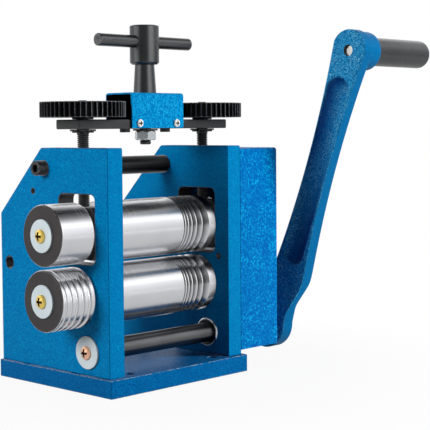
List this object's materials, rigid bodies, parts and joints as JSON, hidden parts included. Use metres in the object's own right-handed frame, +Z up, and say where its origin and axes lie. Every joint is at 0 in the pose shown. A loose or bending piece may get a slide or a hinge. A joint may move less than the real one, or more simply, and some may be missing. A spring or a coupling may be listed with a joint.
{
  "type": "jewellers rolling mill",
  "caption": "Hand cranked rolling mill for sheet and wire: grooved rollers between side plates, geared twin screws set by a T-handle, gearbox and crank.",
  "frame": {"origin": "centre of the base plate's underside", "axes": "+X along the rollers towards the gearbox and crank, -Y the side that metal is fed in, +Z up"},
  "size_m": [0.3067, 0.1771, 0.2424],
  "materials": {
    "plate_blue": "metallic blue enamel, satin with a fine texture",
    "cover_blue": "blue hammered enamel, glossy",
    "base_blue": "blue enamel",
    "black_steel": "black oxide, satin",
    "gear_steel": "machined, oiled",
    "polished_steel": "ground and polished",
    "bronze": "bearing bronze",
    "zinc": "bright zinc",
    "yellow_zinc": "yellow zinc",
    "gunmetal": "dark gunmetal, satin",
    "grip_black": "black, softly glossy"
  },
  "bodies": {
    "frame": {"base_plate": "base_blue", "base_screws": "black_steel", "left_side_plate": "plate_blue", "right_side_plate": "plate_blue", "top_tie_rod": "black_steel", "tie_rod_screws": "black_steel", "lower_roller_bushes": "bronze", "drive_shaft_bushes": "bronze", "lift_springs": "gear_steel", "gearbox_cover": "cover_blue", "gearbox_screws": "black_steel", "crank_bush": "bronze"},
    "lower_roll": {"lower_roller": "polished_steel", "lower_extension_roll": "polished_steel", "lower_spacer": "polished_steel", "lower_roll_end_washer": "zinc", "lower_roll_end_screw": "yellow_zinc", "lower_roller_keys": "gear_steel", "drive_gear": "gear_steel", "lower_coupling_gear": "gear_steel", "lower_roller_clip": "gear_steel"},
    "bearing_blocks": {"left_bearing_block": "black_steel", "right_bearing_block": "black_steel", "bearing_block_bushes": "bronze"},
    "upper_roll": {"upper_roller": "polished_steel", "upper_extension_roll": "polished_steel", "upper_spacer": "polished_steel", "upper_roll_end_washer": "zinc", "upper_roll_end_screw": "yellow_zinc", "upper_roller_keys": "gear_steel", "upper_coupling_gear": "gear_steel", "upper_roller_clip": "gear_steel"},
    "bridge": {"bridge_bar": "black_steel", "idler_bolts": "black_steel", "idler_nuts": "zinc", "gear_cover": "cover_blue", "cover_screws": "zinc"},
    "left_screw": {"left_adjusting_screw": "gear_steel", "left_adjusting_gear": "black_steel", "left_screw_washer": "black_steel"},
    "right_screw": {"right_adjusting_screw": "gear_steel", "right_adjusting_gear": "black_steel", "right_screw_washer": "black_steel"},
    "t_handle": {"t_spindle": "gunmetal", "cross_bar": "gunmetal", "top_pinion": "gear_steel", "spindle_washer": "zinc", "spindle_nut": "zinc"},
    "left_idler": {"left_idler_gear": "gear_steel"},
    "right_idler": {"right_idler_gear": "gear_steel"},
    "crank": {"drive_shaft": "black_steel", "drive_shaft_end_washer": "zinc", "drive_shaft_end_screw": "yellow_zinc", "drive_pinion": "gear_steel", "drive_shaft_keys": "gear_steel", "crank_arm": "cover_blue", "crank_bolt": "black_steel", "grip_bolt": "gear_steel"},
    "grip": {"grip": "grip_black"}
  },
  "joints": [
    {"name": "crank_turn", "type": "hinge", "parent": "frame", "child": "crank", "pos_m": [0, -0.0339, 0.02724], "axis": [1, 0, 0], "continuous": true},
    {"name": "lower_roller_turn", "type": "hinge", "parent": "frame", "child": "lower_roll", "pos_m": [0, -0.0239, 0.0626], "axis": [1, 0, 0], "continuous": true},
    {"name": "bearing_block_lift", "type": "slide", "parent": "frame", "child": "bearing_blocks", "axis": [0, 0, 1], "range_m": [-0.00181, 0.00421], "deforming": ["lift_springs"]},
    {"name": "upper_roller_turn", "type": "hinge", "parent": "bearing_blocks", "child": "upper_roll", "pos_m": [0, -0.0239, 0.1045], "axis": [1, 0, 0], "continuous": true},
    {"name": "bridge_lift", "type": "slide", "parent": "frame", "child": "bridge", "axis": [0, 0, 1], "range_m": [-0.0018, 0.0042]},
    {"name": "t_handle_turn", "type": "hinge", "parent": "bridge", "child": "t_handle", "pos_m": [0, -0.0239, 0.2], "axis": [0, 0, 1], "range_deg": [-1588.6, 3705.4]},
    {"name": "left_screw_turn", "type": "hinge", "parent": "bridge", "child": "left_screw", "pos_m": [-0.05555, -0.0239, 0.172], "axis": [0, 0, 1], "range_deg": [-518.9, 1210.1]},
    {"name": "right_screw_turn", "type": "hinge", "parent": "bridge", "child": "right_screw", "pos_m": [0.05555, -0.0239, 0.172], "axis": [0, 0, 1], "range_deg": [-518.9, 1210.1]},
    {"name": "left_idler_turn", "type": "hinge", "parent": "bridge", "child": "left_idler", "pos_m": [-0.0187, -0.0239, 0.185], "axis": [0, 0, 1], "range_deg": [-3293.8, 1412.2]},
    {"name": "right_idler_turn", "type": "hinge", "parent": "bridge", "child": "right_idler", "pos_m": [0.0187, -0.0239, 0.185], "axis": [0, 0, 1], "range_deg": [-3293.8, 1412.2]},
    {"name": "grip_spin", "type": "hinge", "parent": "crank", "child": "grip", "pos_m": [0.13, -0.10329, 0.2265], "axis": [1, 0, 0], "continuous": true}
  ],
  "couplings": [
    {"joint": "lower_roller_turn", "follows": "crank_turn", "ratio": -0.4},
    {"joint": "upper_roller_turn", "follows": "crank_turn", "ratio": 0.4},
    {"joint": "bearing_block_lift", "follows": "bridge_lift", "ratio": 1},
    {"joint": "t_handle_turn", "follows": "bridge_lift", "rad_per_m": 15394},
    {"joint": "left_screw_turn", "follows": "bridge_lift", "rad_per_m": 5026.5},
    {"joint": "right_screw_turn", "follows": "bridge_lift", "rad_per_m": 5026.5},
    {"joint": "left_idler_turn", "follows": "bridge_lift", "rad_per_m": -13683},
    {"joint": "right_idler_turn", "follows": "bridge_lift", "rad_per_m": -13683}
  ]
}
